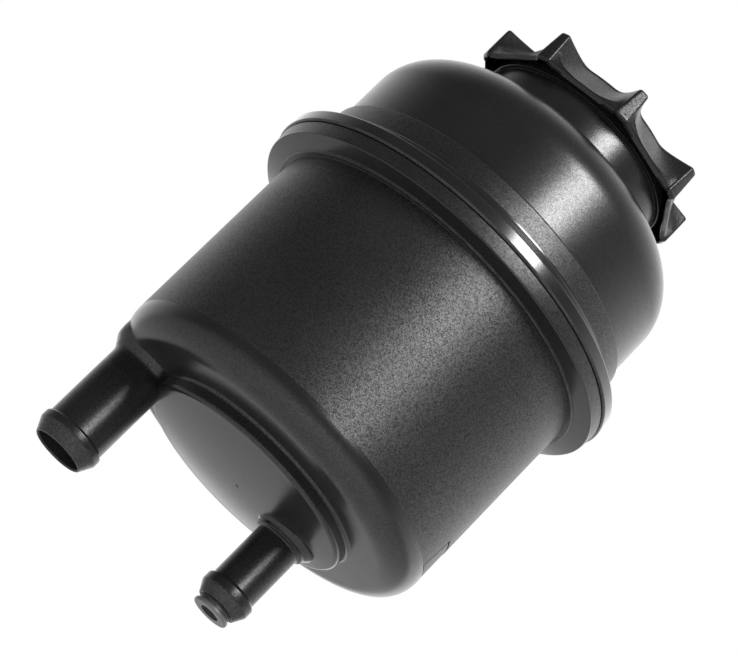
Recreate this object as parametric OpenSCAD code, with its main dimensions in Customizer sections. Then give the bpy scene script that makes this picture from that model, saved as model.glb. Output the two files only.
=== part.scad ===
// Power steering reservoir: a round bowl with two hose nipples, a welded domed
// housing, a star-grip screw cap with a dipstick, and a screen filter inside.
// The origin is on the axis, where the bowl's clamping wall meets its flange.
// +Z runs up to the cap, and the nipples point down.

/* [Bowl] */
// Outer radius of the bowl's clamping wall
bowl_r = 50; // [48:0.5:52]
// Height of the clamping wall, from the shoulder to the flange
band_h = 56.5; // [50:0.5:64]
// Outer radius of the shoulder's rounding
shoulder_r = 8; // [6:0.5:9]
// Wall of the bowl
bowl_wall = 3; // [2.4:0.1:3.6]
// Outer radius of the sump cup under the bowl
sump_r = 32.3; // [31:0.1:33]
// Depth of the sump's rim under the bowl's floor
sump_drop = 4.3; // [3.5:0.1:5.5]
// Height of the sump's domed bottom
sump_crown = 2.1; // [1.5:0.1:3]
// Rounding of the sump's rim
sump_edge_r = 1.3; // [0.8:0.1:1.8]
// Depth of the shallow plain panel on the clamping wall
panel_depth = 0.1; // [0.05:0.05:0.3]
// Width of the plain panel at its lower edge
panel_low_w = 33.4; // [24:0.1:44]
// Width of the plain panel at its upper edge
panel_high_w = 28.4; // [16:0.1:40]
// Height of the plain panel
panel_h = 10.2; // [6:0.1:20]
// Height of the wall between the panel and the shoulder
panel_lift = 0.9; // [0.5:0.1:6]

/* [Weld flange] */
// Outer radius of the bowl's flange at its weld face
flange_r = 56.9; // [55.5:0.1:58.5]
// Height of the weld face above the clamping wall
weld_z = 5.75; // [5:0.05:7]
// Height at which the flange's outer band starts
flange_skirt_z = 1.6; // [1.2:0.1:2.4]
// Width of the small step where the wall meets the flange
step_w = 1.5; // [1:0.1:2]
// Height of that small step
step_h = 0.5; // [0.3:0.1:0.8]
// Chamfer that leaves the groove at the weld
weld_groove = 0.35; // [0.2:0.05:0.6]
// Outer radius of the housing's flange
cover_flange_r = 57.5; // [56:0.1:59]
// Thickness of the housing's flange
cover_flange_h = 3.9; // [3:0.1:5]

/* [Housing] */
// Outer radius of the grained base band over the flange
base_r = 51; // [50.5:0.1:52]
// Height of the base band's top
base_top_z = 19.9; // [18:0.1:22]
// Outer radius of the dome
dome_r = 49.25; // [48.5:0.05:50]
// Height at which the dome starts to turn in
dome_z = 35; // [32:0.5:38]
// Width of the dome's rounding
dome_turn_w = 19.2; // [18:0.1:20]
// Height of the dome's rounding
dome_turn_h = 16; // [14:0.5:18]
// Wall of the housing
housing_wall = 3; // [2.4:0.1:3.6]
// Outer radius of the filler neck
neck_r = 29.3; // [28.5:0.1:30]
// Wall of the filler neck
neck_wall = 3.3; // [2.8:0.1:3.8]
// Height of the neck above the dome
neck_h = 9.7; // [8:0.1:12]
// Length of the locating lip inside the bowl
lip_h = 3; // [2:0.5:5]

/* [Suction nipple] */
// Place of the nipple across the bowl
suction_x = -38.4; // [-38.8:0.1:-38]
// Place of the nipple along the depth
suction_y = 4; // [2:0.5:6]
// Outer radius of the tube
suction_r = 8.7; // [8.3:0.1:9]
// Radius of the bore
suction_bore_r = 6.9; // [6.4:0.1:7]
// Radius of the bead
suction_bead_r = 9.4; // [9.2:0.1:9.7]
// Height of the nipple's mouth
suction_end_z = -96.7; // [-102:0.1:-94]
// Radius of the root boss
suction_boss_r = 11.6; // [11:0.1:12.5]

/* [Return nipple] */
// Place of the nipple across the bowl
return_x = 17.9; // [16:0.1:18.5]
// Place of the nipple along the depth
return_y = 5.5; // [3:0.5:7]
// Outer radius of the tube
return_r = 6.6; // [6.3:0.1:6.9]
// Radius of the bore under the sump
return_bore_r = 4.2; // [3.5:0.1:4.5]
// Radius of the bead
return_bead_r = 7.5; // [7.2:0.1:7.8]
// Height of the nipple's mouth
return_end_z = -95.7; // [-100:0.1:-93]
// Radius of the collar at the root
return_collar_r = 8.1; // [7.8:0.1:8.6]
// Reach of the collar below the sump's lowest point
return_collar_h = 0.9; // [0.5:0.1:2]
// Radius of the insert's neck
insert_r = 4.9; // [4.7:0.05:5]
// Depth of the insert in the nipple
insert_depth = 15; // [10:1:17]
// Radius of the insert's end disc
insert_disc_r = 5.4; // [5.2:0.1:5.7]
// Radius of the hole through the insert
insert_hole_r = 2; // [1.5:0.1:2.5]
// Length of the ribbed neck that shows outside the nipple
insert_gap = 1.3; // [1:0.1:2]
// Thickness of the insert's end disc
insert_disc_h = 1.1; // [0.8:0.1:1.5]

/* [Cap] */
// Number of grip ribs round the cap
rib_count = 8; // [6:1:10]
// Radius over the grip ribs
rib_r = 35.2; // [34.6:0.1:36]
// Width of a grip rib at its foot
rib_foot_w = 4.75; // [4.4:0.05:5.2]
// Width of a grip rib at its top
rib_top_w = 3.1; // [2.8:0.1:3.4]
// Turn of the ribs from the -Y side towards +X
rib_turn = 4.3; // [0:0.1:20]
// Radius at the foot of a finger hollow, midway between two ribs
cap_r = 32.5; // [32.2:0.1:33]
// Radius at the top of a finger hollow, midway between two ribs
hub_r = 24.5; // [24:0.1:27]
// Wall of the cap's skirt
cap_wall = 1.2; // [1:0.1:1.4]
// Height of the ribs from the skirt's lower edge
cap_h = 10.5; // [9.5:0.1:12]
// Radius of the cap's own ring that shows over the neck
collar_r = 29.9; // [29.6:0.1:30.5]
// Thickness of that ring
collar_h = 2.8; // [2:0.1:4]
// Depth of the plug in the neck
plug_depth = 15; // [12:0.5:17]
// Wall of the plug
plug_wall = 3.4; // [2.5:0.1:4]
// Thickness of the sealing ring
seal_h = 1.4; // [1.2:0.1:2]
// Width of the sealing ring
seal_w = 2.2; // [1.6:0.1:2.4]

/* [Dipstick] */
// Width of the blade
blade_w = 6; // [4:0.5:8]
// Thickness of the blade
blade_t = 1.8; // [1.4:0.1:2.4]
// Height of the blade's tip
blade_tip_z = -10; // [-16:1:0]
// Radius of the round stem
stem_r = 3.2; // [3:0.1:4]

/* [Filter] */
// Height of the filter cage over the bowl's floor
cage_h = 36; // [28:1:42]
// Number of posts in the cage
post_count = 8; // [6:1:12]
// Width of a post
post_w = 2.4; // [1.8:0.1:3]
// Thickness of the cage's rings
ring_h = 2; // [1.5:0.1:3]
// Thickness of the screen sleeve
screen_t = 0.6; // [0.4:0.1:1]
// Thickness of the cover plate
plate_h = 2; // [1.5:0.1:3]

/* [Fits] */
// Radial gap of pieces that drop into each other
slip = 0.3; // [0.2:0.05:0.4]
// Radial gap of the return insert in its bore
push_fit = 0.05; // [0.02:0.01:0.08]
// Gap under the cap's ring and skirt
rest_gap = 0.5; // [0.4:0.05:0.8]

/* [Hidden] */
$fn = 96;
over = 1;

// Heights and radii of the bowl
floor_under_z = -band_h - shoulder_r;
floor_z = floor_under_z + bowl_wall;
bowl_in_r = bowl_r - bowl_wall;
rim_z = floor_under_z - sump_drop;
bottom_z = rim_z - sump_crown;
sump_in_r = sump_r - bowl_wall;
crown_w = sump_r - sump_edge_r;
crown_sphere_r = (crown_w * crown_w + sump_crown * sump_crown) / (2 * sump_crown);
crown_steps = 8;
edge_steps = 5;

// Heights and radii of the housing
cover_top_z = weld_z + cover_flange_h;
dome_top_z = dome_z + dome_turn_h;
neck_top_z = dome_top_z + neck_h;
neck_in_r = neck_r - neck_wall;
lip_r = bowl_in_r - slip;
lip_wall = 2.2;
dome_steps = 14;

// Heights and radii of the nipples
bead_h = 6.3;
bead_land = 2;
nose_in = 2;
boss_turn_h = 6.5;
boss_inset = 0.6;
collar_cone_h = 0.9;
insert_bore_r = insert_r + push_fit;
insert_ridges = 3;
ridge_in = 0.3;

// Heights and radii of the cap and its plug
collar_z = neck_top_z + rest_gap;
skirt_z = collar_z + slip;
cap_top_z = skirt_z + cap_h;
hub_plate = 2.5;
hub_under_z = cap_top_z - hub_plate;
foot_band_h = 1.4;
foot_in = 0.9;
rib_edge = 0.5;
rib_end_wall = 1.3;
hollow_points = 10;
foot_bend = 2.4;
top_bend = 6;
band_rise = 0.27 * cap_h;
cap_steps = 6;
cap_in_steps = 4;
plug_r = neck_in_r - slip;
plug_bottom_z = neck_top_z - plug_depth;
plug_floor = 2.5;
plug_in_r = plug_r - plug_wall;
socket_wall = 2.4;
socket_in_r = plug_r - plug_wall - socket_wall - slip;
seal_r = neck_r - slip;
seal_in_r = seal_r - seal_w;
vent_ring_r = 10;
vent_hole_r = 1.2;
vent_count = 4;

// Heights and radii of the dipstick and filter
stem_h = 12;
head_r = 5.2;
head_h = 1.6;
level_mark_z = [0, 12];
level_mark_h = 1;
disc_in_r = head_r + slip;
disc_r = 14;
disc_h = 2;
cage_top_z = floor_z + cage_h;
cage_r = sump_r - 0.9;
spigot_r = sump_in_r - slip;
cage_in_r = spigot_r - 3;
spigot_h = 4.2;
seal_groove = 1.6;
filter_seal_h = 2;
filter_seal_z = floor_z - 3;
seal_touch = 0.05;
post_in_r = cage_in_r + screen_t + 1;
post_bite = 0.5;
screen_r = post_in_r - push_fit;

// Outline of a round cup's body: a straight wall that turns in to a flat floor
module cup_outline(r, corner, foot_z, top_z) {
    translate([0, foot_z + corner]) square([r, top_z - foot_z - corner]);
    translate([0, foot_z]) square([r - corner, top_z - foot_z]);
    translate([r - corner, foot_z + corner]) circle(corner);
}

// Outline of the sump cup with a domed bottom; inset moves it inwards
module sump_outline(inset) {
    edge_r = sump_edge_r - min(inset, sump_edge_r - 0.3);
    sphere_r = crown_sphere_r - inset;
    flat_r = sump_r - inset - edge_r;
    low_z = bottom_z + inset;
    rise = sphere_r - sqrt(sphere_r * sphere_r - flat_r * flat_r);
    polygon(concat(
        [for (i = [0:crown_steps]) let (r = flat_r * i / crown_steps)
            [r, low_z + sphere_r - sqrt(sphere_r * sphere_r - r * r)]],
        [for (i = [1:edge_steps]) let (a = 90 * i / edge_steps)
            [flat_r + edge_r * sin(a), low_z + rise + edge_r * (1 - cos(a))]],
        [[flat_r + edge_r, -band_h], [0, -band_h]]
    ));
}

// Keeps the side of an outline that may be turned about the axis
module turned() {
    rotate_extrude() intersection() {
        children();
        translate([0, -200]) square([100, 400]);
    }
}

// One hose nipple, from the height foot_z down to its mouth
module nipple(r, bead_r, end_z, foot_z) {
    bead_back_z = end_z + bead_h;
    slope = bead_r - r;
    rotate_extrude() polygon([
        [0, end_z], [bead_r - nose_in, end_z], [bead_r, end_z + bead_h - slope - bead_land],
        [bead_r, bead_back_z - slope], [r, bead_back_z], [r, foot_z], [0, foot_z]
    ]);
}

// Root boss of the suction nipple, kept inside the bowl's wall radius
module suction_boss() {
    intersection() {
        translate([suction_x, suction_y, 0]) rotate_extrude() polygon([
            [0, -band_h], [suction_boss_r, -band_h],
            for (i = [0:5])
                let (a = i * 18, turn_w = suction_boss_r - suction_r)
                [suction_r + turn_w * cos(a), floor_under_z + 4.5 - boss_turn_h * sin(a)],
            [0, floor_under_z + 4.5 - boss_turn_h]
        ]);
        translate([0, 0, bottom_z]) cylinder(r = bowl_r - boss_inset, h = -bottom_z);
    }
}

// Plain shallow panel cut into the clamping wall on the +X side
module panel_cut() {
    low_z = -band_h + panel_lift;
    intersection() {
        translate([0, 0, low_z - over]) difference() {
            cylinder(r = bowl_r + over, h = panel_h + 2 * over);
            translate([0, 0, -over]) cylinder(r = bowl_r - panel_depth, h = panel_h + 4 * over);
        }
        rotate([90, 0, 90]) linear_extrude(bowl_r * 1.2) polygon([
            [-panel_low_w / 2, low_z], [panel_low_w / 2, low_z],
            [panel_high_w / 2, low_z + panel_h], [-panel_high_w / 2, low_z + panel_h]
        ]);
    }
}

module bowl() color([0.09, 0.09, 0.1]) difference() {
    union() {
        turned() cup_outline(bowl_r, shoulder_r, floor_under_z, 0);
        rotate_extrude() sump_outline(0);
        rotate_extrude() polygon([
            [bowl_in_r - over, 0], [bowl_r, 0], [bowl_r + step_w, step_h],
            [flange_r - 0.2, flange_skirt_z], [flange_r, weld_z - weld_groove],
            [flange_r - weld_groove, weld_z], [bowl_in_r - over, weld_z]
        ]);
        suction_boss();
        translate([suction_x, suction_y, 0])
            nipple(suction_r, suction_bead_r, suction_end_z, floor_z - bowl_wall / 2);
        translate([return_x, return_y, 0]) {
            nipple(return_r, return_bead_r, return_end_z, rim_z);
            translate([0, 0, bottom_z - return_collar_h])
                cylinder(r = return_collar_r, h = return_collar_h + bowl_wall / 2);
            translate([0, 0, bottom_z - return_collar_h - collar_cone_h])
                cylinder(r1 = return_r - over, r2 = return_collar_r, h = collar_cone_h);
        }
    }
    turned() cup_outline(bowl_in_r, shoulder_r - bowl_wall, floor_z, weld_z + over);
    rotate_extrude() sump_outline(bowl_wall);
    translate([suction_x, suction_y, suction_end_z - over])
        cylinder(r = suction_bore_r, h = floor_z - suction_end_z + 2 * over);
    translate([return_x, return_y, return_end_z - over]) {
        cylinder(r = return_bore_r, h = -return_end_z + rim_z + 2 * over);
        cylinder(r = insert_bore_r, h = insert_depth + over);
    }
    panel_cut();
}

// Points of the dome's rounding, from its wall up to the neck
function dome_turn(r, w, h) = [
    for (i = [0:dome_steps])
        let (a = 90 * i / dome_steps)
        [r - w + w * cos(a), dome_z + h * sin(a)]
];

function reversed(list) = [for (i = [len(list) - 1:-1:0]) list[i]];

module housing() color([0.09, 0.09, 0.1]) {
    in_r = dome_r - housing_wall;
    in_h = dome_turn_h - housing_wall;
    in_w = min(dome_turn_w, in_r - neck_in_r) - 0.5;
    rotate_extrude() polygon(concat(
        [
            [bowl_in_r, weld_z], [cover_flange_r - 0.2, weld_z],
            [cover_flange_r, cover_top_z - 0.5], [cover_flange_r - 0.6, cover_top_z],
            [base_r + 1.2, cover_top_z + 0.4], [base_r + 0.6, cover_top_z + 1.6],
            [base_r + 0.5, cover_top_z + 3.5], [base_r, cover_top_z + 3.6],
            [base_r - 0.5, base_top_z], [dome_r, base_top_z + 0.6]
        ],
        dome_turn(dome_r, dome_turn_w, dome_turn_h),
        [
            [neck_r, dome_top_z + 0.8], [neck_r, neck_top_z - 0.5],
            [neck_r - 0.5, neck_top_z], [neck_in_r + 0.8, neck_top_z],
            [neck_in_r, neck_top_z - 0.8], [neck_in_r, dome_z + in_h]
        ],
        reversed(dome_turn(in_r, in_w, in_h)),
        [
            [in_r, weld_z + 6], [lip_r - lip_wall, weld_z + 2],
            [lip_r - lip_wall, weld_z - lip_h], [lip_r - 0.5, weld_z - lip_h],
            [lip_r, weld_z - lip_h + 0.5], [lip_r, weld_z]
        ]
    ));
}

// Height as a share of the way from the foot band to the top
function rise_share(z) = max(0, (z - skirt_z - foot_band_h) / (cap_h - foot_band_h));

// Radius midway between two ribs, and half of a rib's width, at a height
function hollow_r(z) = cap_r - (cap_r - hub_r) * rise_share(z);
function half_rib(z) = (rib_foot_w - (rib_foot_w - rib_top_w) * rise_share(z)) / 2;

// One loop of the star outline: ribs out to the radius tip, hollows down to the radius low.
// The loop's height runs from z_mid in the middle of a hollow to z_rib along a rib.
function star(z_mid, z_rib, low, tip, half_w, bend) = [
    for (i = [0:rib_count - 1])
        let (
            turn = rib_turn - 90 + i * 360 / rib_count,
            sector = 180 / rib_count,
            edge_a = asin((half_w - rib_edge) / tip),
            side_a = asin(half_w / tip),
            side_r = tip - rib_edge
        )
        each [
            for (a = [-edge_a, edge_a]) [tip * cos(turn + a), tip * sin(turn + a), z_rib],
            for (k = [0:hollow_points])
                let (
                    share = 2 * k / hollow_points - 1,
                    a = sector + share * (sector - side_a),
                    r = low + (side_r - low) * pow(abs(share), bend)
                )
                [r * cos(turn + a), r * sin(turn + a), z_mid + (z_rib - z_mid) * pow(abs(share), 3)]
        ]
];

// A flat loop of the hollow under the grip
function inner_loop(z) = star(
    z, z, hollow_r(z) - cap_wall, rib_r - rib_end_wall, half_rib(z) - cap_wall + 0.2,
    foot_bend + (top_bend + 1 - foot_bend) * (z - skirt_z) / (hub_under_z - skirt_z)
);

// A loop of the outside, from the top edge of the foot band at 0 to the grip's top edge at 1
function outer_loop(share) =
    let (
        band_z = skirt_z + foot_band_h,
        z_rib = band_z + band_rise + (cap_top_z - rib_edge - band_z - band_rise) * share
    )
    star(
        band_z + (cap_top_z - rib_edge - band_z) * share, z_rib,
        cap_r - (cap_r - hub_r) * share, rib_r, half_rib(z_rib),
        foot_bend + (top_bend - foot_bend) * sqrt(share)
    );

// The cap's loops: down the hollow inside, round the foot, and up the outside
function cap_loops() = concat(
    [for (i = [cap_in_steps:-1:0])
        inner_loop(skirt_z + rib_edge + (hub_under_z - skirt_z - rib_edge) * i / cap_in_steps)],
    [
        star(skirt_z, skirt_z, cap_r - foot_in, rib_r - foot_in, half_rib(skirt_z) - 0.4, foot_bend),
        star(skirt_z + foot_in, skirt_z + foot_in, cap_r, rib_r, half_rib(skirt_z), foot_bend)
    ],
    [for (i = [0:cap_steps]) outer_loop(i / cap_steps)],
    [star(
        cap_top_z, cap_top_z, hub_r - rib_edge, rib_r - 2 * rib_edge,
        half_rib(cap_top_z) - rib_edge / 2, top_bend
    )]
);

module cap() color([0.07, 0.07, 0.075]) {
    loops = cap_loops();
    size = len(loops[0]);
    last = len(loops) - 1;
    low_centre = size * len(loops);
    polyhedron(
        points = concat([for (loop = loops) each loop], [[0, 0, hub_under_z], [0, 0, cap_top_z]]),
        faces = [
            for (i = [0:size - 1]) [low_centre, i, (i + 1) % size],
            for (k = [0:last - 1], i = [0:size - 1])
                let (n = (i + 1) % size, here = k * size, above = here + size)
                each [[here + i, above + i, above + n], [here + i, above + n, here + n]],
            for (i = [0:size - 1]) [low_centre + 1, last * size + (i + 1) % size, last * size + i]
        ]
    );
}

module cap_plug() color([0.1, 0.1, 0.11]) difference() {
    rotate_extrude() polygon([
        [0, plug_bottom_z], [plug_r - 0.8, plug_bottom_z], [plug_r, plug_bottom_z + 0.8],
        [plug_r, collar_z], [seal_in_r - slip, collar_z], [seal_in_r - slip, neck_top_z + seal_h],
        [seal_r + slip, neck_top_z + seal_h], [seal_r + slip, collar_z], [collar_r, collar_z],
        [collar_r, collar_z + collar_h], [socket_in_r + socket_wall, collar_z + collar_h],
        [socket_in_r + socket_wall, hub_under_z], [socket_in_r, hub_under_z],
        [socket_in_r, collar_z + collar_h - 1.5], [plug_in_r, collar_z],
        [plug_in_r, plug_bottom_z + plug_floor], [0, plug_bottom_z + plug_floor]
    ]);
    translate([0, 0, plug_bottom_z - over]) {
        cylinder(r = stem_r + push_fit, h = plug_floor + 2 * over);
        for (i = [0:vent_count - 1])
            rotate([0, 0, 45 + i * 360 / vent_count]) translate([vent_ring_r, 0, 0])
                cylinder(r = vent_hole_r, h = plug_floor + 2 * over);
    }
}

module cap_seal() color([0.04, 0.04, 0.04]) {
    translate([0, 0, neck_top_z]) difference() {
        cylinder(r = seal_r, h = seal_h);
        translate([0, 0, -over]) cylinder(r = seal_in_r, h = seal_h + 2 * over);
    }
}

module breather_disc() color([0.75, 0.73, 0.68]) {
    translate([0, 0, plug_bottom_z + plug_floor]) difference() {
        cylinder(r = disc_r, h = disc_h);
        translate([0, 0, -over]) cylinder(r = disc_in_r, h = disc_h + 2 * over);
    }
}

module dipstick() color([0.13, 0.13, 0.14]) {
    stem_low_z = plug_bottom_z - stem_h;
    translate([0, 0, stem_low_z]) cylinder(r = stem_r, h = stem_h + plug_floor);
    translate([0, 0, plug_bottom_z + plug_floor]) cylinder(r = head_r, h = head_h);
    difference() {
        translate([-blade_w / 2, -blade_t / 2, blade_tip_z])
            cube([blade_w, blade_t, stem_low_z + over - blade_tip_z]);
        for (z = level_mark_z) translate([-blade_w / 2 - over, blade_t / 2 - 0.4, z])
            cube([blade_w + 2 * over, over, level_mark_h]);
    }
}

module filter_frame() color([0.16, 0.16, 0.17]) {
    rotate_extrude() polygon([
        [cage_in_r, floor_z - spigot_h], [spigot_r, floor_z - spigot_h],
        [spigot_r, filter_seal_z], [spigot_r - seal_groove, filter_seal_z],
        [spigot_r - seal_groove, filter_seal_z + filter_seal_h],
        [spigot_r, filter_seal_z + filter_seal_h], [spigot_r, floor_z],
        [cage_r, floor_z], [cage_r, floor_z + ring_h], [cage_in_r, floor_z + ring_h]
    ]);
    translate([0, 0, cage_top_z - ring_h]) difference() {
        cylinder(r = cage_r, h = ring_h);
        translate([0, 0, -over]) cylinder(r = cage_in_r, h = ring_h + 2 * over);
    }
    for (i = [0:post_count - 1]) rotate([0, 0, (i + 0.5) * 360 / post_count])
        translate([post_in_r, -post_w / 2, floor_z + ring_h - post_bite])
            cube([cage_r - 0.4 - post_in_r, post_w, cage_h - 2 * ring_h + 2 * post_bite]);
}

module filter_screen() color([0.62, 0.63, 0.65]) {
    translate([0, 0, floor_z + ring_h]) difference() {
        cylinder(r = screen_r, h = cage_h - 2 * ring_h);
        translate([0, 0, -over]) cylinder(r = screen_r - screen_t, h = cage_h - 2 * ring_h + 2 * over);
    }
}

module filter_cover() color([0.16, 0.16, 0.17]) {
    translate([0, 0, cage_top_z]) cylinder(r = cage_r, h = plate_h);
    translate([0, 0, cage_top_z - ring_h]) difference() {
        cylinder(r = cage_in_r - push_fit, h = ring_h + 0.5);
        translate([0, 0, -over]) cylinder(r = cage_in_r - push_fit - 1.8, h = ring_h + over);
    }
}

module filter_seal() color([0.04, 0.04, 0.04]) {
    translate([0, 0, filter_seal_z]) difference() {
        cylinder(r = sump_in_r - seal_touch, h = filter_seal_h);
        translate([0, 0, -over])
            cylinder(r = spigot_r - seal_groove + seal_touch, h = filter_seal_h + 2 * over);
    }
}

module return_insert() color([0.28, 0.28, 0.29]) {
    ridge_h = insert_gap / insert_ridges;
    translate([return_x, return_y, return_end_z]) difference() {
        rotate_extrude() polygon(concat(
            [[0, -insert_gap - insert_disc_h], [insert_disc_r - 0.3, -insert_gap - insert_disc_h],
             [insert_disc_r, -insert_gap - insert_disc_h + 0.3], [insert_disc_r, -insert_gap]],
            [for (i = [0:insert_ridges - 1], p = [[ridge_in, 0.1], [0, 0.3], [0, 0.7], [ridge_in, 0.9]])
                [insert_r - p[0], -insert_gap + (i + p[1]) * ridge_h]],
            [[insert_r, 0], [insert_r, insert_depth], [0, insert_depth]]
        ));
        translate([0, 0, -insert_gap - insert_disc_h - over])
            cylinder(r = insert_hole_r, h = insert_depth + insert_gap + insert_disc_h + 2 * over);
    }
}

bowl();
housing();
cap();
cap_plug();
cap_seal();
breather_disc();
dipstick();
filter_frame();
filter_screen();
filter_cover();
filter_seal();
return_insert();
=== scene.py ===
import math

import bmesh
import bpy
from mathutils import Matrix, Vector


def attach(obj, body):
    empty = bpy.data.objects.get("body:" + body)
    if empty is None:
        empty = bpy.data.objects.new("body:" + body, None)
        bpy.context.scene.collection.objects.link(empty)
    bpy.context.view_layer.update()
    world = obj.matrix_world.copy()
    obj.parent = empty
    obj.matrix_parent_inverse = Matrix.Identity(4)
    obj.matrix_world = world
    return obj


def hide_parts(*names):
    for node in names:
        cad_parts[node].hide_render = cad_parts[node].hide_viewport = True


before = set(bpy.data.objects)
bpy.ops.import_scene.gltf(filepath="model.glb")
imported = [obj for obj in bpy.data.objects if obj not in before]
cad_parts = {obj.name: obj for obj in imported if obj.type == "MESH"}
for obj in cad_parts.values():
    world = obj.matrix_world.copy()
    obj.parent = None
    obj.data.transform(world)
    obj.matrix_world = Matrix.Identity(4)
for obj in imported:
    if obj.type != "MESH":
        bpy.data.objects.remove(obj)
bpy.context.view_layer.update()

MM = 0.001

# How finely round shapes are divided
AROUND = 192
AROUND_NIPPLE = 96
AROUND_THREAD = 96
AROUND_INSERT = 72
AROUND_GATE_MARK = 12
ROUNDING_STEP = math.radians(9)
CREASE_ANGLE = math.radians(32)

# Sizes of the solids that the visible pieces follow, in millimetres.
# The bowl
BOWL_R = 50.0
BOWL_WALL = 3.0
SHOULDER_Z = -64.5
SUMP_R = 32.3
SUMP_LOW_Z = -70.9
SUMP_SPHERE_R = 229.9
WELD_Z = 5.75
FLANGE_R = 56.9
FLANGE_FOOT_R = 51.5

# The nipples
BELOW_MOUTHS_Z = -99.0
SUCTION_AT = (-38.4, 4.0)
SUCTION_END_Z = -96.7
SUCTION_R = 8.7
SUCTION_BEAD_R = 9.4
SUCTION_BORE_R = 6.9
BOSS_R = 11.6
BOSS_TOP_Z = -56.6
BOSS_CLIP_R = 49.4
RETURN_AT = (17.9, 5.5)
RETURN_END_Z = -95.7
RETURN_R = 6.65
RETURN_BEAD_R = 7.5
RETURN_COLLAR_R = 9.3
RETURN_TOP_Z = -69.0
RETURN_MOUTH_R = 4.95
RETURN_BORE_R = 4.2

# The panel, its groove and the block that cuts them
PANEL_LOW_Z = -55.6
PANEL_HIGH_Z = -45.4
PANEL_LOW_HALF = 16.7
PANEL_HIGH_HALF = 14.2
PANEL_R = 49.9
GROOVE_R = 49.3
GROOVE_SIDE_W = 0.9
GROOVE_END_W = 0.4
# Where the groove's faces lie that are painted dark as the shade of the recess
GROOVE_FACES_R = (49.25, 49.85)
GROOVE_FACES_X = 40.0
BLOCK_FROM_X = 30.0
BLOCK_LENGTH = 30.0

# The housing
HOUSING_WALL = 3.0
COVER_FLANGE_R = 57.5
DOME_R = 49.25
DOME_TURN_Z = 35.0
DOME_TURN_WIDE = 19.2
DOME_TURN_HIGH = 16.0
NECK_R = 29.3
NECK_TOP_Z = 60.7
NECK_BORE_R = 26.0
NECK_FOOT_Z = 47.9
LIP_R = 46.7
LIP_INNER_R = 44.5
LIP_LOW_Z = 2.8

# The cap
CAP_FOOT_Z = 61.5
CAP_TOP_Z = 72.0
CAP_EDGE_R = 0.8
CAP_HOLLOW_H = 8.0
BAND_TOP_Z = 62.9
BAND_TOP_RIB_Z = 65.735
RIB_COUNT = 8
RIB_TURN = math.radians(4.3 - 90.0)
RIB_TIP_R = 35.2
RIB_INNER_TIP_R = 33.9
RIB_HALF = 2.375
RIB_HALF_LOSS = 0.825
RIB_WALL = 1.0
HOLLOW_R = 32.5
HOLLOW_R_LOSS = 8.0
HOLLOW_WALL = 1.2
FOOT_BEND = 2.4
TOP_BEND = 6.0
INNER_TOP_BEND = 7.0
CORNER_STEP = math.radians(18)
CORNER_COUNT = 5
HOLLOW_COUNT = 18

# The plug
PLUG_LOW_Z = 45.7
PLUG_R = 24.9
PLUG_BORE_R = 22.3
PLUG_COLLAR_R = 25.7
PLUG_RING_R = 29.9
PLUG_RING_TOP_Z = 64.0
PLUG_STEM_R = 22.0
PLUG_STEM_BORE_R = 19.6
PLUG_TOP_Z = 69.5
THREAD_ROOT_R = 24.7
THREAD_CREST_R = 25.65
THREAD_SUNK = 0.3
THREAD_LOW_Z = 48.2
THREAD_HIGH_Z = 57.6
THREAD_TURNS = 2.4

# The insert
INSERT_BORE_R = 2.0
INSERT_RIM_R = 5.4
INSERT_R = 4.9
INSERT_GROOVE_R = 4.55
INSERT_OUT = 2.4
INSERT_RIM_OUT = 1.3
INSERT_IN = 15.0
INSERT_RIDGES = 3
INSERT_RIDGE_STEP = 0.43


# Outlines

def rounded(points):
    """A path of points (across, up); a third value is the radius that rounds that corner."""
    path = []
    for index, point in enumerate(points):
        here = Vector(point[:2])
        if len(point) < 3:
            path.append(here)
            continue
        radius = point[2]
        before = (Vector(points[index - 1][:2]) - here).normalized()
        after = (Vector(points[(index + 1) % len(points)][:2]) - here).normalized()
        half = before.angle(after) / 2
        middle = here + (before + after).normalized() * radius / math.sin(half)
        start = here + before * radius / math.tan(half) - middle
        end = here + after * radius / math.tan(half) - middle
        sweep = (math.pi - 2 * half) * (1 if start.cross(end) > 0 else -1)
        count = max(2, math.ceil(abs(sweep) / ROUNDING_STEP))
        turns = [Matrix.Rotation(sweep * i / count, 2) for i in range(count + 1)]
        path.extend(middle + turn @ start for turn in turns)
    return path


def arc(middle, wide, high, start, end, count):
    """Points of an elliptical arc between two angles in degrees."""
    angles = [math.radians(start + (end - start) * i / count) for i in range(count + 1)]
    return [(middle[0] + wide * math.cos(a), middle[1] + high * math.sin(a)) for a in angles]


# Mesh tools

def spun(points, at=(0.0, 0.0), closed=True, around=AROUND):
    """A bmesh of an outline turned round an upright axis; one that ends on the axis is open."""
    bm = bmesh.new()
    verts = [bm.verts.new((p[0] * MM, 0.0, p[1] * MM)) for p in points]
    edges = [bm.edges.new(pair) for pair in zip(verts, verts[1:])]
    if closed:
        edges.append(bm.edges.new((verts[-1], verts[0])))
    bmesh.ops.spin(
        bm, geom=verts + edges, cent=(0, 0, 0), axis=(0, 0, 1),
        angle=math.tau, steps=around, use_merge=True,
    )
    bmesh.ops.remove_doubles(bm, verts=bm.verts, dist=1e-6)
    bmesh.ops.dissolve_degenerate(bm, dist=1e-7, edges=bm.edges)
    bmesh.ops.recalc_face_normals(bm, faces=bm.faces)
    bmesh.ops.translate(bm, verts=bm.verts, vec=(at[0] * MM, at[1] * MM, 0))
    return bm


def as_object(bm, name):
    mesh = bpy.data.meshes.new(name)
    bm.to_mesh(mesh)
    bm.free()
    piece = bpy.data.objects.new(name, mesh)
    bpy.context.scene.collection.objects.link(piece)
    return piece


def as_bmesh(piece):
    """The bmesh of an object that isn't needed any more."""
    bm = bmesh.new()
    bm.from_mesh(piece.data)
    bpy.data.objects.remove(piece)
    return bm


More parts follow.
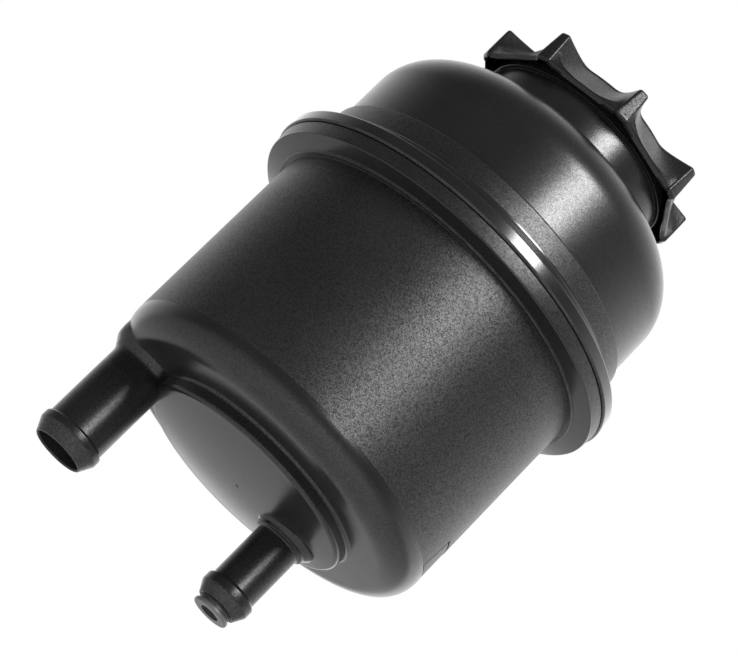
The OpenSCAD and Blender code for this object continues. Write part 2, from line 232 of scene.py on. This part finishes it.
def carve(piece, tool_bm, way):
    """Joins a tool to a piece, takes it away or keeps what both share, and drops the tool."""
    tool = as_object(tool_bm, "tool")
    change = piece.modifiers.new("carve", "BOOLEAN")
    change.operation = way
    change.solver = "EXACT"
    change.object = tool
    graph = bpy.context.evaluated_depsgraph_get()
    result = bpy.data.meshes.new_from_object(piece.evaluated_get(graph), depsgraph=graph)
    piece.modifiers.clear()
    piece.data = result
    bpy.data.objects.remove(tool)


def crease(piece):
    """Smooth faces with sharp edges kept where the surface turns."""
    bm = bmesh.new()
    bm.from_mesh(piece.data)
    for face in bm.faces:
        face.smooth = True
    for edge in bm.edges:
        edge.smooth = edge.is_manifold and edge.calc_face_angle(0) < CREASE_ANGLE
    bm.to_mesh(piece.data)
    bm.free()


def finish_piece(piece, body, finish, node):
    """Creases a piece, paints it and puts it in the place of a solid."""
    crease(piece)
    piece.data.materials.clear()
    piece.data.materials.append(finish)
    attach(piece, body)
    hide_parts(node)


# Finishes

# The heights that zones of grain may span, in millimetres
ZONES_LOW_Z = -100.0
ZONES_HIGH_Z = 80.0

# The top of each stretch of height in millimetres, and how strong its moulded grain is
SHELL_GRAIN_ZONES = [
    (-72.5, 0.65), (-68.2, 0.34), (-65.6, 0.70), (-56.0, 0.42), (0.3, 1.00),
    (1.7, 0.20), (5.7, 0.85), (13.25, 0.12), (19.9, 0.85), (46.0, 0.45), (80.0, 0.40),
]
CAP_GRAIN_ZONES = [(61.3, 0.15), (62.8, 0.35), (80.0, 0.80)]
GRAIN_SCALE = 3600.0
GRAIN_DEPTH = 0.00003
GLITTER_LOW = -0.26
GLITTER_HIGH = 0.30
COAT_FADES = (0.13, 0.2)
COAT_ROUGHNESS = 0.16
NYLON_TONE_SCALE = 34.0
TONE_LOW = 0.3
TONE_HIGH = 0.7


class Nodes:
    """Short ways to add and join the nodes of one tree."""

    def __init__(self, tree):
        self.tree = tree

    def feed(self, socket, value):
        """Sets an input socket, or joins it to the output socket that is given as its value."""
        if isinstance(value, bpy.types.NodeSocket):
            self.tree.links.new(value, socket)
        else:
            socket.default_value = value

    def node(self, kind, inputs=None, **settings):
        made = self.tree.nodes.new(kind)
        for key, value in settings.items():
            setattr(made, key, value)
        for key, value in (inputs or {}).items():
            self.feed(made.inputs[key], value)
        return made

    def maths(self, operation, first, second):
        made = self.node("ShaderNodeMath", {0: first, 1: second}, operation=operation)
        return made.outputs[0]

    def spread(self, source, low, high, out_low, out_high, **settings):
        """Maps the range from low to high onto the range from out_low to out_high."""
        made = self.node("ShaderNodeMapRange", {
            "Value": source, "From Min": low, "From Max": high,
            "To Min": out_low, "To Max": out_high,
        }, **settings)
        return made.outputs["Result"]


class Finish(Nodes):
    """A material whose textures lie on the object's own coordinates."""

    def __init__(self, name):
        self.material = bpy.data.materials.new(name)
        self.material.use_nodes = True
        super().__init__(self.material.node_tree)
        self.shader = self.tree.nodes["Principled BSDF"]
        self.coords = self.node("ShaderNodeTexCoord").outputs["Object"]

    def paint(self, inputs):
        for key, value in inputs.items():
            self.feed(self.shader.inputs[key], value)

    def noise(self, scale, detail=2.0, roughness=0.5):
        made = self.node("ShaderNodeTexNoise", {
            "Vector": self.coords, "Scale": scale, "Detail": detail, "Roughness": roughness,
        })
        return made.outputs["Fac"]

    def specks(self, scale):
        """A random value for each small cell."""
        cells = self.node("ShaderNodeTexVoronoi", {"Vector": self.coords, "Scale": scale})
        return self.node("ShaderNodeSeparateColor", {0: cells.outputs["Color"]}).outputs[0]

    def steps_up(self, zones):
        """A value for each stretch of height: zones lists (top in mm, value)."""
        ramp = self.node("ShaderNodeValToRGB")
        ramp.color_ramp.interpolation = "CONSTANT"
        stops = ramp.color_ramp.elements
        while len(stops) > 1:
            stops.remove(stops[-1])
        start = 0.0
        for index, (top, value) in enumerate(zones):
            stop = stops[0] if index == 0 else stops.new(start)
            stop.position = start
            stop.color = (value, value, value, 1.0)
            start = (top - ZONES_LOW_Z) / (ZONES_HIGH_Z - ZONES_LOW_Z)
        height = self.node("ShaderNodeSeparateXYZ", {0: self.coords}).outputs["Z"]
        share = self.spread(height, ZONES_LOW_Z * MM, ZONES_HIGH_Z * MM, 0.0, 1.0)
        self.feed(ramp.inputs["Fac"], share)
        return ramp.outputs["Color"]

    def bump(self, height, distance):
        made = self.node("ShaderNodeBump", {"Height": height, "Distance": distance})
        self.paint({"Normal": made.outputs["Normal"]})

    def two_tones(self, mask, dark, light):
        made = self.node("ShaderNodeMix", {
            "Factor": mask, "A": (*dark, 1.0), "B": (*light, 1.0),
        }, data_type="RGBA")
        self.paint({"Base Color": made.outputs["Result"]})


def moulded_nylon(name, dark, light, grain_zones, rough_smooth, rough_grain, shine, coat):
    """Black glass-filled nylon: fine grain that glitters, smoother and glossier where weak."""
    finish = Finish(name)
    grain = finish.steps_up(grain_zones)
    broad = finish.noise(NYLON_TONE_SCALE, detail=3.0, roughness=0.55)
    finish.two_tones(finish.spread(broad, TONE_LOW, TONE_HIGH, 0.0, 1.0), dark, light)
    sheen = finish.spread(grain, 0.0, 1.0, rough_smooth, rough_grain)
    patch = finish.spread(broad, TONE_LOW, TONE_HIGH, -0.015, 0.02)
    speck = finish.spread(finish.specks(GRAIN_SCALE), 0.0, 1.0, GLITTER_LOW, GLITTER_HIGH)
    glitter = finish.maths("MULTIPLY", grain, speck)
    finish.paint({
        "Roughness": finish.maths("ADD", sheen, patch),
        "Specular IOR Level": finish.maths("ADD", glitter, shine),
        "Coat Weight": finish.spread(grain, *COAT_FADES, coat, 0.0),
        "Coat Roughness": COAT_ROUGHNESS,
    })
    pits = finish.noise(GRAIN_SCALE, detail=1.0)
    finish.bump(finish.maths("MULTIPLY", pits, grain), GRAIN_DEPTH)
    return finish.material


def plain_finish(name, dark, light, roughness, tone_scale, grain_scale, grain_depth):
    """A moulded, rubber or felt surface with a soft change of tone and a fine skin."""
    finish = Finish(name)
    broad = finish.noise(tone_scale, detail=3.0)
    finish.two_tones(finish.spread(broad, 0.35, 0.65, 0.0, 1.0), dark, light)
    uneven = finish.spread(broad, TONE_LOW, TONE_HIGH, roughness - 0.04, roughness + 0.05)
    finish.paint({"Roughness": uneven})
    finish.bump(finish.noise(grain_scale), grain_depth)
    return finish.material


def woven_wire(name, dark, light, wave_scale, wire_depth):
    """Fine steel gauze wrapped round the axis."""
    finish = Finish(name)
    waves = []
    for direction in ("Z", "X"):
        wave = finish.node("ShaderNodeTexWave", {
            "Vector": finish.coords, "Scale": wave_scale,
        }, bands_direction=direction)
        waves.append(wave.outputs["Fac"])
    weave = finish.maths("MULTIPLY", *waves)
    finish.two_tones(weave, dark, light)
    finish.paint({"Metallic": 1.0, "Roughness": finish.spread(weave, 0.0, 1.0, 0.5, 0.28)})
    finish.bump(weave, wire_depth)
    return finish.material


# Pieces

def sump_arc(inset, out_r, count=14):
    """The sump's domed bottom, from the axis outwards."""
    sphere_r = SUMP_SPHERE_R - inset
    middle_z = SUMP_LOW_Z + inset + sphere_r
    across = [out_r * i / count for i in range(count + 1)]
    return [(r, middle_z - math.sqrt(sphere_r ** 2 - r ** 2)) for r in across]


def from_sump(edge, corners):
    """An outline that starts with the sump's arc and goes on round corners."""
    return edge + rounded([edge[-1]] + corners)[1:]


def bowl_outside():
    """The bowl's outer surface, closed over its axis at the weld face."""
    return from_sump(sump_arc(0.0, 30.5), [
        (SUMP_R, -68.72, 1.3), (SUMP_R, SHOULDER_Z, 1.2), (BOWL_R, SHOULDER_Z, 8.0),
        (BOWL_R, -0.05, 0.15), (51.3, 0.0, 0.2), (FLANGE_FOOT_R, 0.5, 0.2), (56.6, 1.55, 0.35),
        (FLANGE_R, 5.4, 0.2), (56.5, WELD_Z), (0.0, WELD_Z),
    ])


def bowl_inside():
    """The hollow inside the bowl, up past the weld face."""
    sump_r = SUMP_R - BOWL_WALL
    inner_r = BOWL_R - BOWL_WALL
    floor_z = SHOULDER_Z + BOWL_WALL
    past_z = WELD_Z + 1
    return from_sump(sump_arc(BOWL_WALL, 28.0), [
        (sump_r, -66.0, 0.8), (sump_r, floor_z, 0.6), (inner_r, floor_z, 5.0),
        (inner_r, past_z), (0.0, past_z),
    ])


def suction_outline():
    """The large nipple from its mouth to the root boss."""
    return rounded([
        (0.0, SUCTION_END_Z), (7.5, SUCTION_END_Z, 0.4), (SUCTION_BEAD_R, -92.9, 1.4),
        (SUCTION_BEAD_R, -91.0, 0.5), (SUCTION_R, -90.4, 0.3), (SUCTION_R, -66.6, 2.2),
        (BOSS_R, -62.4, 4.2), (BOSS_R, BOSS_TOP_Z), (0.0, BOSS_TOP_Z),
    ])


def suction_bore():
    return rounded([
        (0, BELOW_MOUTHS_Z), (8.2, BELOW_MOUTHS_Z), (SUCTION_BORE_R, -96.2, 0.5),
        (SUCTION_BORE_R, -58), (0, -58),
    ])


def return_outline():
    """The small nipple from its mouth to its collar."""
    return rounded([
        (0.0, RETURN_END_Z), (5.8, RETURN_END_Z, 0.4), (RETURN_BEAD_R, -92.6, 1.2),
        (RETURN_BEAD_R, -90.3, 0.5), (RETURN_R, -89.4, 0.3), (RETURN_R, -72.5, 0.5),
        (7.7, -72.2, 0.3), (7.9, -71.3, 0.3), (8.3, -70.9, 0.4), (RETURN_COLLAR_R, -69.9),
        (RETURN_COLLAR_R, RETURN_TOP_Z), (0.0, RETURN_TOP_Z),
    ])


def return_bore():
    """The small nipple's bore, wider as far as the insert reaches."""
    return [
        (0, BELOW_MOUTHS_Z), (6.2, BELOW_MOUTHS_Z), (RETURN_MOUTH_R, -95.2),
        (RETURN_MOUTH_R, -80.7), (RETURN_BORE_R, -80.7), (RETURN_BORE_R, -60), (0, -60),
    ]


def gate_mark():
    """The small pit that the moulding's gate left in the middle of the sump."""
    return [(0, -71.2), (0.8, -71.2), (0.35, -70.55), (0, -70.5)]


def suction_nipple():
    """The large nipple with its root boss, which ends just inside the bowl's wall."""
    nipple = spun(suction_outline(), SUCTION_AT, closed=False, around=AROUND_NIPPLE)
    boss = as_object(nipple, "boss")
    low_z, high_z = -100, -50
    within = [(0, low_z), (BOSS_CLIP_R, low_z), (BOSS_CLIP_R, high_z), (0, high_z)]
    carve(boss, spun(within, closed=False), "INTERSECT")
    return as_bmesh(boss)


def panel_block(side_in, end_in):
    """A block through the bowl's wall with the panel's outline, drawn in at sides and ends."""
    corners = [
        (PANEL_LOW_HALF - side_in, PANEL_LOW_Z + end_in),
        (PANEL_HIGH_HALF - side_in, PANEL_HIGH_Z - end_in),
    ]
    outline = corners + [(-y, z) for y, z in reversed(corners)]
    bm = bmesh.new()
    verts = [bm.verts.new((BLOCK_FROM_X * MM, y * MM, z * MM)) for y, z in outline]
    made = bmesh.ops.extrude_face_region(bm, geom=[bm.faces.new(verts)])["geom"]
    moved = [g for g in made if isinstance(g, bmesh.types.BMVert)]
    bmesh.ops.translate(bm, verts=moved, vec=(BLOCK_LENGTH * MM, 0, 0))
    bmesh.ops.recalc_face_normals(bm, faces=bm.faces)
    return bm


def panel_tool(inner_r, framed=False):
    """A curved plate with the panel's outline, or only its frame."""
    outer_r, low_z, high_z = 51.0, -60.0, -40.0
    ring = [(inner_r, low_z), (outer_r, low_z), (outer_r, high_z), (inner_r, high_z)]
    tool = as_object(spun(ring), "panel_plate")
    carve(tool, panel_block(0.0, 0.0), "INTERSECT")
    if framed:
        carve(tool, panel_block(GROOVE_SIDE_W, GROOVE_END_W), "DIFFERENCE")
    return as_bmesh(tool)


def make_bowl(finish, shade):
    """The bowl with both nipples; shade is the near-black paint on the groove round its panel,
    painted shade of the recess.
    """
    bowl = as_object(spun(bowl_outside(), closed=False), "bowl_shell")
    open_tube = {"closed": False, "around": AROUND_NIPPLE}
    carve(bowl, suction_nipple(), "UNION")
    carve(bowl, spun(return_outline(), RETURN_AT, **open_tube), "UNION")
    carve(bowl, spun(bowl_inside(), closed=False), "DIFFERENCE")
    carve(bowl, spun(suction_bore(), SUCTION_AT, **open_tube), "DIFFERENCE")
    carve(bowl, spun(return_bore(), RETURN_AT, **open_tube), "DIFFERENCE")
    carve(bowl, panel_tool(PANEL_R), "DIFFERENCE")
    carve(bowl, panel_tool(GROOVE_R, framed=True), "DIFFERENCE")
    carve(bowl, spun(gate_mark(), closed=False, around=AROUND_GATE_MARK), "DIFFERENCE")
    finish_piece(bowl, "reservoir", finish, "bowl")
    # The groove's faces round the panel take a second slot, painted dark as the recess's shade
    bowl.data.materials.append(shade)
    low_r, high_r = GROOVE_FACES_R
    for face in bowl.data.polygons:
        place = face.center / MM
        beside_panel = PANEL_LOW_Z < place.z < PANEL_HIGH_Z and place.x > GROOVE_FACES_X
        if beside_panel and low_r < place.xy.length < high_r:
            face.material_index = 1


def make_housing(finish):
    """The domed upper half with its flange, base band, filler neck and locating lip."""
    dome_turn = arc(
        (DOME_R - DOME_TURN_WIDE, DOME_TURN_Z), DOME_TURN_WIDE, DOME_TURN_HIGH, 0, 86, 22,
    )
    inner_turn = arc(
        (30.0, DOME_TURN_Z), DOME_TURN_WIDE - HOUSING_WALL, DOME_TURN_HIGH - HOUSING_WALL,
        84, 0, 16,
    )
    low = rounded([
        (47.0, WELD_Z), (57.1, WELD_Z, 0.25), (COVER_FLANGE_R, 6.3, 0.2),
        (COVER_FLANGE_R, 9.3, 0.45), (52.3, 10.0, 1.0), (51.6, 13.0, 0.25), (51.0, 13.35, 0.2),
        (50.45, 19.75, 0.2), (DOME_R, 20.3, 0.5), (DOME_R, 34.9),
    ])
    neck = rounded([
        (30.3, 50.97), (NECK_R, 51.4, 1.2), (NECK_R, NECK_TOP_Z, 0.5),
        (NECK_BORE_R + 1.0, NECK_TOP_Z, 0.4), (NECK_BORE_R, NECK_TOP_Z - 1.0, 0.4),
        (NECK_BORE_R, NECK_FOOT_Z, 0.8), (30.8, NECK_FOOT_Z),
    ])
    lip = rounded([
        (46.25, 11.7), (LIP_INNER_R, 7.8), (LIP_INNER_R, LIP_LOW_Z, 0.4),
        (LIP_R, LIP_LOW_Z, 0.6), (LIP_R, WELD_Z),
    ])
    outline = low[:-1] + dome_turn + neck[1:-1] + inner_turn + lip
    housing = as_object(spun(outline), "domed_housing")
    finish_piece(housing, "reservoir", finish, "housing")


def rise_share(z):
    """How far up the cap's hollows a height lies, from the foot band to the top."""
    return max(0.0, (z - BAND_TOP_Z) / (CAP_TOP_Z - BAND_TOP_Z))


def half_rib(z):
    """Half a rib's width, which shrinks from the foot band to the top."""
    return RIB_HALF - RIB_HALF_LOSS * rise_share(z)


def hollow_r(share):
    """From the axis to the middle of a hollow, which deepens from the foot band to the top."""
    return HOLLOW_R - HOLLOW_R_LOSS * share


def star(z_mid, z_rib, low, tip, half_w, bend, corner):
    """One loop of the star outline: rounded ribs out to tip, concave hollows down to low.

    Its height runs from z_mid in the middle of a hollow to z_rib along a rib.
    """
    middle = math.pi / RIB_COUNT
    side_r = tip - corner
    side_a = math.asin(half_w / side_r)
    half = [(tip, 0.0, z_rib), (tip, (half_w - corner) * 0.5, z_rib)]
    for i in range(CORNER_COUNT + 1):
        a = CORNER_STEP * i
        across = half_w - corner + corner * math.sin(a)
        half.append((side_r + corner * math.cos(a), across, z_rib))
    for i in range(1, HOLLOW_COUNT + 1):
        share = 1 - i / HOLLOW_COUNT
        a = middle - share * (middle - side_a)
        r = low + (side_r - low) * share ** bend
        half.append((r * math.cos(a), r * math.sin(a), z_mid + (z_rib - z_mid) * share ** 3))
    sector = [(x, -y, z) for x, y, z in reversed(half[1:-1])] + half
    loop = []
    for rib in range(RIB_COUNT):
        turn = Matrix.Rotation(RIB_TURN + rib * math.tau / RIB_COUNT, 3, "Z")
        loop.extend(turn @ Vector(p) * MM for p in sector)
    return loop


def inner_level(z):
    """A level of the open hollow underneath."""
    bend = FOOT_BEND + (INNER_TOP_BEND - FOOT_BEND) * (z - CAP_FOOT_Z) / CAP_HOLLOW_H
    low = hollow_r(rise_share(z)) - HOLLOW_WALL
    return z, z, low, RIB_INNER_TIP_R, half_rib(z) - RIB_WALL, bend, 0.45


def outer_level(share, inset=0.0, end_z=CAP_TOP_Z - CAP_EDGE_R, corner=CAP_EDGE_R):
    """A level of the outside, from the foot band's top edge at 0 to the grip's top edge at 1."""
    z_mid = BAND_TOP_Z + (end_z - BAND_TOP_Z) * share
    z_rib = BAND_TOP_RIB_Z + (end_z - BAND_TOP_RIB_Z) * share
    low = hollow_r(share) - inset
    bend = FOOT_BEND + (TOP_BEND - FOOT_BEND) * math.sqrt(share)
    return z_mid, z_rib, low, RIB_TIP_R - inset, half_rib(z_rib) - inset, bend, corner


def cap_levels():
    """Levels from the hollow underneath, round the foot, up the outside and over the top edge."""
    levels = [inner_level(z) for z in (69.5, 68.0, 66.5, 65.0, 63.6, 62.3)]
    foot = [
        (61.62, 31.35, 34.10, 1.72, 0.60), (61.50, 31.62, 34.32, 1.92, 0.70),
        (61.56, 31.80, 34.46, 2.00, 0.75), (62.30, 32.34, 35.02, 2.28, 0.80),
        (62.50, 32.46, 35.15, 2.35, 0.80),
    ]
    levels += [(z, z, low, tip, half_w, FOOT_BEND, corner) for z, low, tip, half_w, corner in foot]
    shares = (0.0, 0.03, 0.07, 0.12, 0.2, 0.3, 0.4, 0.5, 0.6, 0.7, 0.8, 0.9, 1.0)
    levels += [outer_level(share) for share in shares]
    for i in range(1, CORNER_COUNT + 1):
        a = CORNER_STEP * i
        inset = CAP_EDGE_R * (1 - math.cos(a))
        end_z = CAP_TOP_Z - CAP_EDGE_R + CAP_EDGE_R * math.sin(a)
        levels.append(outer_level(1.0, inset, end_z, 0.75 - inset / 3))
    return levels


def make_cap(finish):
    """The star grip over its hollow underside."""
    bm = bmesh.new()
    first, *others = cap_levels()
    loop = [bm.verts.new(p) for p in star(*first)]
    bm.faces.new(loop)
    for level in others:
        raised = [bm.verts.new(p) for p in star(*level)]
        for corners in zip(loop, loop[1:] + loop[:1], raised[1:] + raised[:1], raised):
            bm.faces.new(corners)
        loop = raised
    bm.faces.new(loop)
    bmesh.ops.recalc_face_normals(bm, faces=bm.faces)
    cap = as_object(bm, "star_cap")
    finish_piece(cap, "cap", finish, "cap")


def thread_ridge():
    """The plug's screw ridge, with a flat face at each end."""
    bm = bmesh.new()
    rise = (THREAD_HIGH_Z - THREAD_LOW_Z) / (THREAD_TURNS * AROUND_THREAD)
    sunk_r = THREAD_ROOT_R - THREAD_SUNK
    shape = [
        (sunk_r, -1.3), (THREAD_ROOT_R, -1.1), (THREAD_CREST_R, -0.35),
        (THREAD_CREST_R, 0.35), (THREAD_ROOT_R, 1.1), (sunk_r, 1.3),
    ]
    verts = [bm.verts.new((r * MM, 0, (THREAD_LOW_Z + z) * MM)) for r, z in shape]
    edges = [bm.edges.new(pair) for pair in zip(verts, verts[1:] + verts[:1])]
    bm.faces.new(verts)
    turn = Matrix.Rotation(math.tau / AROUND_THREAD, 3, "Z")
    for _ in range(int(THREAD_TURNS * AROUND_THREAD)):
        made = bmesh.ops.extrude_edge_only(bm, edges=edges)["geom"]
        edges = [g for g in made if isinstance(g, bmesh.types.BMEdge)]
        moved = list({v for e in edges for v in e.verts})
        bmesh.ops.rotate(bm, verts=moved, cent=(0, 0, 0), matrix=turn)
        bmesh.ops.translate(bm, verts=moved, vec=(0, 0, rise * MM))
    bmesh.ops.holes_fill(bm, edges=edges, sides=0)
    bmesh.ops.recalc_face_normals(bm, faces=bm.faces)
    return bm


def join_meshes(piece, other):
    bm = bmesh.new()
    bm.from_mesh(piece.data)
    bm.from_mesh(other.data)
    bm.to_mesh(piece.data)
    bm.free()
    bpy.data.objects.remove(other)


def make_plug(finish):
    """The threaded plug under the star grip, with the ring that shows over the neck."""
    outline = rounded([
        (0, PLUG_LOW_Z), (24.3, PLUG_LOW_Z, 0.8), (PLUG_R, 47.0, 0.5), (PLUG_R, 58.6, 0.5),
        (PLUG_COLLAR_R, 59.4, 0.3), (PLUG_COLLAR_R, 61.2, 0.2), (26.5, 61.2), (26.5, 62.1),
        (29.3, 62.1), (29.3, 61.2, 0.15), (PLUG_RING_R, 61.2, 0.25),
        (PLUG_RING_R, PLUG_RING_TOP_Z, 0.4), (PLUG_STEM_R, PLUG_RING_TOP_Z),
        (PLUG_STEM_R, PLUG_TOP_Z), (PLUG_STEM_BORE_R, PLUG_TOP_Z),
        (PLUG_STEM_BORE_R, 62.5, 1.0), (PLUG_BORE_R, 61.0, 1.0), (PLUG_BORE_R, 48.2, 0.8),
        (0, 48.2),
    ])
    plug = as_object(spun(outline, closed=False), "threaded_plug")
    join_meshes(plug, as_object(thread_ridge(), "plug_thread"))
    finish_piece(plug, "cap", finish, "cap_plug")


def make_insert(finish):
    """The push-in insert at the return nipple's mouth, with its ribbed neck."""
    mouth = RETURN_END_Z
    out_z = mouth - INSERT_OUT
    in_z = mouth + INSERT_IN
    rim = rounded([
        (INSERT_BORE_R, out_z, 0.15), (INSERT_RIM_R, out_z, 0.35),
        (INSERT_RIM_R, mouth - INSERT_RIM_OUT, 0.2),
    ])
    ridges = []
    for i in range(INSERT_RIDGES):
        low = mouth - INSERT_RIM_OUT + i * INSERT_RIDGE_STEP
        ridges += [
            (INSERT_GROOVE_R, low + 0.04), (INSERT_R, low + 0.14),
            (INSERT_R, low + 0.3), (INSERT_GROOVE_R, low + 0.4),
        ]
    sleeve = [(INSERT_R, mouth + 0.1), (INSERT_R, in_z), (INSERT_BORE_R, in_z)]
    outline = rim + ridges + sleeve
    insert = as_object(spun(outline, RETURN_AT, around=AROUND_INSERT), "nipple_insert")
    finish_piece(insert, "reservoir", finish, "return_insert")


def dress_nodes(finishes):
    """Gives each solid that isn't replaced its own finish."""
    for node, finish in finishes.items():
        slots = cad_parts[node].data.materials
        slots.clear()
        slots.append(finish)


# Setting, in metres

def softbox(name, place, target, wide, high, power):
    """A lamp with a rectangular face, turned towards a target."""
    data = bpy.data.lights.new(name, "AREA")
    data.shape = "RECTANGLE"
    data.size = wide
    data.size_y = high
    data.energy = power
    lamp = bpy.data.objects.new(name, data)
    bpy.context.scene.collection.objects.link(lamp)
    lamp.location = place
    lamp.rotation_euler = (Vector(target) - Vector(place)).to_track_quat("-Z", "Y").to_euler()


def make_world(bright_side, dim, bright):
    """A pale room that lights the object from its bright side and hardly from the other.

    The camera, and rays through anything clear, see it as plain white.
    """
    world = bpy.data.worlds.new("pale_room")
    bpy.context.scene.world = world
    world.use_nodes = True
    world.node_tree.nodes.clear()
    nodes = Nodes(world.node_tree)
    path = nodes.node("ShaderNodeLightPath")
    direction = nodes.node("ShaderNodeTexCoord").outputs["Generated"]
    facing = nodes.node("ShaderNodeVectorMath", {0: direction, 1: bright_side},
                        operation="DOT_PRODUCT")
    dim_below, bright_above = -0.35, 0.90
    light = nodes.spread(facing.outputs["Value"], dim_below, bright_above, dim, bright,
                         interpolation_type="SMOOTHSTEP")
    plain = nodes.maths("MAXIMUM", path.outputs["Is Camera Ray"],
                        path.outputs["Is Transmission Ray"])
    level = nodes.node("ShaderNodeMix", {"Factor": plain, "A": light, "B": 1.0})
    shade = nodes.node("ShaderNodeBackground", {
        "Color": (1.0, 1.0, 1.0, 1.0), "Strength": level.outputs[0],
    })
    nodes.node("ShaderNodeOutputWorld", {"Surface": shade.outputs[0]})


def make_floor(half, z):
    bm = bmesh.new()
    bmesh.ops.create_grid(bm, x_segments=2, y_segments=2, size=half)
    bmesh.ops.translate(bm, verts=bm.verts, vec=(0, 0, z))
    floor = as_object(bm, "pale_floor")
    finish = Finish("floor_paint")
    finish.two_tones(finish.noise(3.0), (0.86, 0.86, 0.86), (0.9, 0.9, 0.9))
    finish.paint({"Roughness": 0.8})
    floor.data.materials.append(finish.material)


def make_camera(place, lens):
    """The photograph's view: from the nipples' side, below the flange."""
    right = Vector((0.70575, -0.23452, 0.66854))
    up = Vector((-0.70847, -0.23362, 0.66597))
    back = Vector((0.0, -0.94365, -0.33102))
    data = bpy.data.cameras.new("camera")
    data.lens = lens
    data.sensor_width = 36.0
    data.clip_start = 0.01
    camera = bpy.data.objects.new("camera", data)
    bpy.context.scene.collection.objects.link(camera)
    turn = Matrix((right, up, back)).transposed().to_4x4()
    camera.matrix_world = Matrix.Translation(place) @ turn
    bpy.context.scene.camera = camera


bpy.context.scene.view_settings.view_transform = "Standard"
make_camera(place=(-0.004744, -0.740640, -0.275310), lens=146.7)

shell_finish = moulded_nylon(
    "black_nylon", dark=(0.0085, 0.0085, 0.0090), light=(0.0120, 0.0120, 0.0128),
    grain_zones=SHELL_GRAIN_ZONES, rough_smooth=0.14, rough_grain=0.41, shine=0.38, coat=0.5,
)
cap_finish = moulded_nylon(
    "cap_nylon", dark=(0.0085, 0.0085, 0.0088), light=(0.0120, 0.0120, 0.0125),
    grain_zones=CAP_GRAIN_ZONES, rough_smooth=0.16, rough_grain=0.42, shine=0.28, coat=0.0,
)
rubber_finish = plain_finish(
    "seal_rubber", dark=(0.010, 0.010, 0.010), light=(0.016, 0.016, 0.016),
    roughness=0.6, tone_scale=60, grain_scale=900, grain_depth=0.00005,
)
inner_finish = plain_finish(
    "inner_plastic", dark=(0.03, 0.03, 0.032), light=(0.045, 0.045, 0.047),
    roughness=0.42, tone_scale=40, grain_scale=1200, grain_depth=0.00003,
)
insert_finish = plain_finish(
    "insert_plastic", dark=(0.06, 0.06, 0.062), light=(0.09, 0.09, 0.092),
    roughness=0.36, tone_scale=90, grain_scale=1200, grain_depth=0.00003,
)
# Near-black paint for the groove round the panel: painted shade of the recess, not the nylon's own
# colour
painted_groove_shade = plain_finish(
    "groove_shade", dark=(0.001, 0.001, 0.001), light=(0.003, 0.003, 0.003),
    roughness=0.9, tone_scale=60, grain_scale=900, grain_depth=0.00003,
)
felt_finish = plain_finish(
    "breather_felt", dark=(0.55, 0.52, 0.46), light=(0.72, 0.69, 0.62),
    roughness=0.9, tone_scale=300, grain_scale=1600, grain_depth=0.0003,
)
wire_finish = woven_wire(
    "screen_wire", dark=(0.10, 0.10, 0.105), light=(0.62, 0.62, 0.64),
    wave_scale=420.0, wire_depth=0.0002,
)

make_bowl(shell_finish, painted_groove_shade)
make_housing(shell_finish)
make_cap(cap_finish)
make_plug(cap_finish)
make_insert(insert_finish)
dress_nodes({
    "cap_seal": rubber_finish, "breather_disc": felt_finish, "dipstick": inner_finish,
    "filter_frame": inner_finish, "filter_screen": wire_finish, "filter_cover": inner_finish,
    "filter_seal": rubber_finish,
})

make_world(bright_side=(0.342, 0.940, 0.0), dim=0.10, bright=1.6)
make_floor(half=4.0, z=-0.52)
softbox("key_softbox", place=(0.335, -0.97, 0.59), target=(0, 0, 0), wide=0.36, high=0.70,
        power=23.0)
